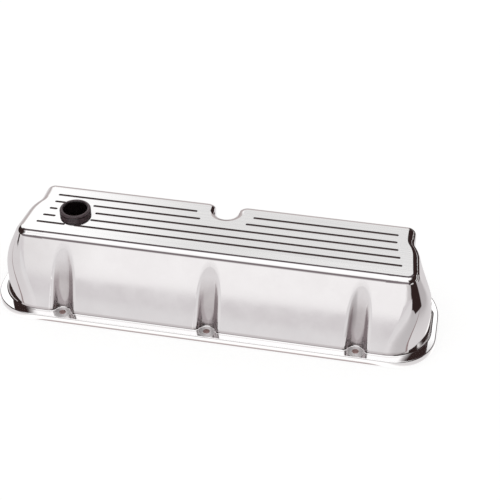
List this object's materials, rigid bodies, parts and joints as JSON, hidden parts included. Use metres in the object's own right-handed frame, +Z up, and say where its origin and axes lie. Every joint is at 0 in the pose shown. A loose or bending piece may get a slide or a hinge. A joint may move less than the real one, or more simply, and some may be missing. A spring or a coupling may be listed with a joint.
{
  "type": "engine valve cover",
  "caption": "Tall cast and polished aluminium valve cover with milled lengthwise grooves, bolt channels, a flat gasket flange and a rubber breather grommet over an internal oil baffle.",
  "frame": {"origin": "middle of the gasket face", "axes": "+X along the cover, +Y towards the valley side, +Z up from the gasket face to the grooved flat"},
  "size_m": [0.48, 0.144, 0.0932],
  "materials": {
    "polished_casting": "polished",
    "black_rubber": "matt",
    "sheet_steel": "pressed sheet",
    "screw_steel": "zinc plated"
  },
  "bodies": {
    "root": {"valve_cover": "polished_casting", "breather_grommet": "black_rubber", "oil_baffle": "sheet_steel", "baffle_screws": "screw_steel"}
  },
  "joints": []
}
